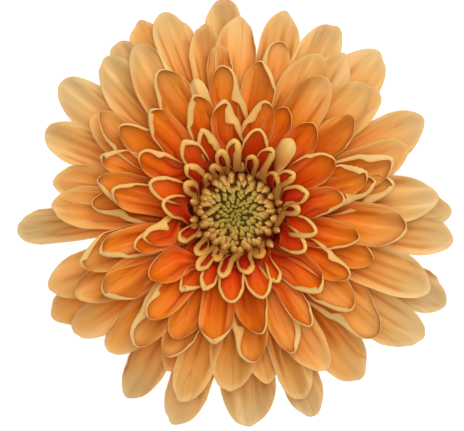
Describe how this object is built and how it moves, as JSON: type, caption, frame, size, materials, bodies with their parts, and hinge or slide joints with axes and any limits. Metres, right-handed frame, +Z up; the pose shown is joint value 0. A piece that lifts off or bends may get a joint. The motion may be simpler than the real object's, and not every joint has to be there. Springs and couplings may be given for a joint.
{
  "type": "chrysanthemum bloom",
  "caption": "Single picked chrysanthemum flower head, face up: whorls of apricot and orange ray florets round a disc of small buds, on a cut stalk.",
  "frame": {"origin": "middle of the footprint, on the surface that the bloom rests on", "axes": "+Z up along the bloom's axis, the way the flower faces; +Y is the far side of the flower seen from above, +X its right"},
  "size_m": [0.0932, 0.0914, 0.0259],
  "materials": {
    "outer_ray_floret": "soft satin petal, pale apricot with fine lengthwise furrows",
    "inner_ray_floret": "soft satin petal, deep orange face and cream yellow reverse",
    "disc_floret": "waxy matt bud, cream with an olive green foot",
    "receptacle": "matt fleshy green",
    "bract": "matt green leaf with a pale dry margin",
    "stalk": "matt ribbed green stem, pale pith at the cut"
  },
  "bodies": {
    "root": {"ray_floret_outer_01": "outer_ray_floret", "ray_floret_outer_02": "outer_ray_floret", "ray_floret_outer_03": "outer_ray_floret", "ray_floret_outer_04": "outer_ray_floret", "ray_floret_outer_05": "outer_ray_floret", "ray_floret_outer_06": "outer_ray_floret", "ray_floret_outer_07": "outer_ray_floret", "ray_floret_outer_08": "outer_ray_floret", "ray_floret_outer_09": "outer_ray_floret", "ray_floret_outer_10": "outer_ray_floret", "ray_floret_outer_11": "outer_ray_floret", "ray_floret_outer_12": "outer_ray_floret", "ray_floret_outer_13": "outer_ray_floret", "ray_floret_outer_14": "outer_ray_floret", "ray_floret_outer_15": "outer_ray_floret", "ray_floret_outer_16": "outer_ray_floret", "ray_floret_outer_17": "outer_ray_floret", "ray_floret_outer_18": "outer_ray_floret", "ray_floret_outer_19": "outer_ray_floret", "ray_floret_outer_20": "outer_ray_floret", "ray_floret_outer_21": "outer_ray_floret", "ray_floret_outer_22": "outer_ray_floret", "ray_floret_outer_23": "outer_ray_floret", "ray_floret_outer_24": "outer_ray_floret", "ray_floret_second_01": "outer_ray_floret", "ray_floret_second_02": "outer_ray_floret", "ray_floret_second_03": "outer_ray_floret", "ray_floret_second_04": "outer_ray_floret", "ray_floret_second_05": "outer_ray_floret", "ray_floret_second_06": "outer_ray_floret", "ray_floret_second_07": "outer_ray_floret", "ray_floret_second_08": "outer_ray_floret", "ray_floret_second_09": "outer_ray_floret", "ray_floret_second_10": "outer_ray_floret", "ray_floret_second_11": "outer_ray_floret", "ray_floret_second_12": "outer_ray_floret", "ray_floret_second_13": "outer_ray_floret", "ray_floret_second_14": "outer_ray_floret", "ray_floret_second_15": "outer_ray_floret", "ray_floret_second_16": "outer_ray_floret", "ray_floret_second_17": "outer_ray_floret", "ray_floret_second_18": "outer_ray_floret", "ray_floret_second_19": "outer_ray_floret", "ray_floret_second_20": "outer_ray_floret", "ray_floret_second_21": "outer_ray_floret", "ray_floret_second_22": "outer_ray_floret", "ray_floret_second_23": "outer_ray_floret", "ray_floret_second_24": "outer_ray_floret", "ray_whorl_third": "inner_ray_floret", "ray_whorl_fourth": "inner_ray_floret", "ray_whorl_fifth": "inner_ray_floret", "ray_whorl_sixth": "inner_ray_floret", "ray_whorl_innermost": "inner_ray_floret", "disc_florets": "disc_floret", "receptacle": "receptacle", "peduncle_stub": "stalk", "involucre_inner_bracts": "bract", "involucre_outer_bracts": "bract"}
  },
  "joints": []
}
